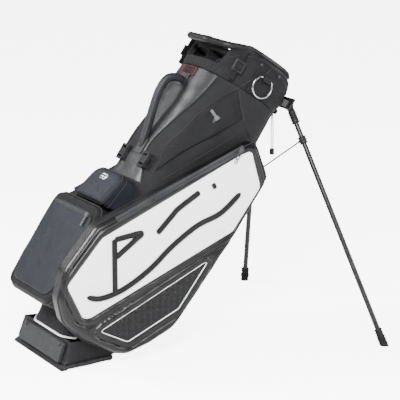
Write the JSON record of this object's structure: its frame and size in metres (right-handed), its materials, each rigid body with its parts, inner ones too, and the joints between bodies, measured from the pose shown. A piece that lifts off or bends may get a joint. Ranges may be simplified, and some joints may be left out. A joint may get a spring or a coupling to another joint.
{
  "type": "golf stand bag",
  "caption": "Golf stand bag leaning on its two folding legs, with zipped side pockets, a ball pocket and a hinged sole that works the stand.",
  "frame": {"origin": "on the ground under the middle of the box of the deployed bag", "axes": "+X from the heel towards the two legs, +Y to the left leg, +Z plumb up; the bag leans 34 degrees towards +X"},
  "size_m": [0.8306, 0.7212, 0.7733],
  "materials": {
    "base_moulding": "moulded, fine grain",
    "buckle_moulding": "acetal",
    "coated_leather": "coated, satin",
    "cuff_fabric": "woven, coated",
    "cuff_moulding": "soft touch",
    "divider_fabric": "woven",
    "divider_padding": "brushed",
    "elastic": "elastic cord",
    "emblem_cord": "raised",
    "foot_rubber": "matte",
    "gloss_panel": "patent coated",
    "handle_padding": "padded",
    "heel_moulding": "moulded, satin",
    "label_cloth": "woven label",
    "leg_paint": "satin black",
    "pad_rubber": "matte",
    "padded_frame": "padded, satin",
    "pin_steel": "satin",
    "piping": "piping",
    "pocket_fabric": "woven, coated",
    "pull_metal": "satin",
    "quilt_fabric": "quilted",
    "ring_chrome": "polished",
    "smooth_cloth": "smooth coated",
    "stand_moulding": "glass-filled nylon",
    "stay_fibre": "pultruded",
    "trunk_fabric": "woven, coated",
    "webbing": "webbing",
    "wire_steel": "black",
    "zip_tape": "coil zip"
  },
  "bodies": {
    "bag": {"base_cup": "base_moulding", "heel_plate": "heel_moulding", "base_piping": "piping", "hinge_pins": "pin_steel", "trunk_shell": "trunk_fabric", "stay_rods": "stay_fibre", "divider_hoop": "divider_padding", "divider_bars": "divider_padding", "divider_walls": "divider_fabric", "top_cuff": "cuff_moulding", "cuff_band": "cuff_fabric", "spine_panel": "coated_leather", "trunk_handle": "handle_padding", "handle_mounts": "handle_padding", "strap_buckles": "buckle_moulding", "label_patch": "label_cloth", "rivets": "pin_steel", "ladder_buckles": "buckle_moulding", "buckle_webbing": "webbing", "dring_patch": "cuff_fabric", "quilt_panels": "quilt_fabric", "panel_emblems": "emblem_cord", "ball_pocket": "pocket_fabric", "ball_pocket_panel": "smooth_cloth", "accessory_pocket": "smooth_cloth", "valuables_pocket_left": "pocket_fabric", "valuables_pocket_right": "pocket_fabric", "zip_tapes": "zip_tape", "leg_bracket": "stand_moulding", "wire_guides": "stand_moulding", "lock_knob": "stand_moulding", "lock_loop": "elastic", "lock_toggle": "stand_moulding", "side_pocket_left": "padded_frame", "side_pocket_right": "padded_frame", "side_panel_left": "gloss_panel", "side_panel_right": "gloss_panel"},
    "foot_plate": {"foot_plate": "base_moulding", "foot_pads": "pad_rubber"},
    "actuator": {"actuator_wire": "wire_steel", "actuator_yoke": "stand_moulding"},
    "d_ring": {"d_ring": "ring_chrome"},
    "ball_zip_pull": {"ball_zip_pull": "pull_metal"},
    "leg_left": {"leg_tube_left": "leg_paint", "leg_knuckle_left": "stand_moulding", "leg_foot_left": "foot_rubber", "leg_clamp_left": "stand_moulding"},
    "push_rod_left": {"push_rod_left": "wire_steel"},
    "side_zip_pull_left": {"side_zip_pull_left": "pull_metal"},
    "upper_zip_pull_left": {"upper_zip_pull_left": "pull_metal"},
    "leg_right": {"leg_tube_right": "leg_paint", "leg_knuckle_right": "stand_moulding", "leg_foot_right": "foot_rubber", "leg_clamp_right": "stand_moulding"},
    "push_rod_right": {"push_rod_right": "wire_steel"},
    "side_zip_pull_right": {"side_zip_pull_right": "pull_metal"},
    "upper_zip_pull_right": {"upper_zip_pull_right": "pull_metal"}
  },
  "joints": [
    {"name": "leg_left_fold", "type": "hinge", "parent": "bag", "child": "leg_left", "pos_m": [0.28158, 0.081, 0.58091], "axis": [-0.4408, 0.8469, 0.2974], "range_deg": [0, 50.68]},
    {"name": "leg_right_fold", "type": "hinge", "parent": "bag", "child": "leg_right", "pos_m": [0.28158, -0.081, 0.58091], "axis": [0.4408, 0.8469, -0.2974], "range_deg": [0, 50.68]},
    {"name": "foot_plate_swing", "type": "hinge", "parent": "bag", "child": "foot_plate", "pos_m": [-0.38141, 0, 0.014], "axis": [0, 1, 0], "range_deg": [0, 34]},
    {"name": "actuator_slide", "type": "slide", "parent": "bag", "child": "actuator", "axis": [-0.5592, 0, -0.829], "range_m": [0, 0.04944]},
    {"name": "push_rod_left_swing", "type": "hinge", "parent": "actuator", "child": "push_rod_left", "pos_m": [0.12561, 0.02, 0.35682], "axis": [0.5521, -0.8122, -0.1886], "range_deg": [0, 18.92]},
    {"name": "push_rod_right_swing", "type": "hinge", "parent": "actuator", "child": "push_rod_right", "pos_m": [0.12561, -0.02, 0.35682], "axis": [-0.5521, -0.8122, 0.1886], "range_deg": [0, 18.92]},
    {"name": "d_ring_swing", "type": "hinge", "parent": "bag", "child": "d_ring", "pos_m": [0.17942, -0.1346, 0.66551], "axis": [-0.829, 0, 0.5592], "range_deg": [0, 100]},
    {"name": "ball_zip", "type": "slide", "parent": "bag", "child": "ball_zip_pull", "axis": [0, 1, 0], "range_m": [0, 0.18]},
    {"name": "side_zip_left", "type": "slide", "parent": "bag", "child": "side_zip_pull_left", "axis": [-0.9279, 0, -0.3728], "range_m": [0, 0.30111]},
    {"name": "upper_zip_left", "type": "slide", "parent": "bag", "child": "upper_zip_pull_left", "axis": [-0.8299, -0.2187, -0.5132], "range_m": [0, 0.122]},
    {"name": "side_zip_right", "type": "slide", "parent": "bag", "child": "side_zip_pull_right", "axis": [-0.9279, 0, -0.3728], "range_m": [0, 0.35404]},
    {"name": "upper_zip_right", "type": "slide", "parent": "bag", "child": "upper_zip_pull_right", "axis": [-0.8299, 0.2187, -0.5132], "range_m": [0, 0.122]}
  ],
  "couplings": [
    {"joint": "leg_right_fold", "follows": "leg_left_fold", "ratio": 1},
    {"joint": "foot_plate_swing", "follows": "leg_left_fold", "ratio": 0.67089},
    {"joint": "actuator_slide", "follows": "leg_left_fold", "m_per_rad": 0.055895},
    {"joint": "push_rod_left_swing", "follows": "leg_left_fold", "ratio": 0.37338},
    {"joint": "push_rod_right_swing", "follows": "leg_left_fold", "ratio": 0.37338}
  ]
}
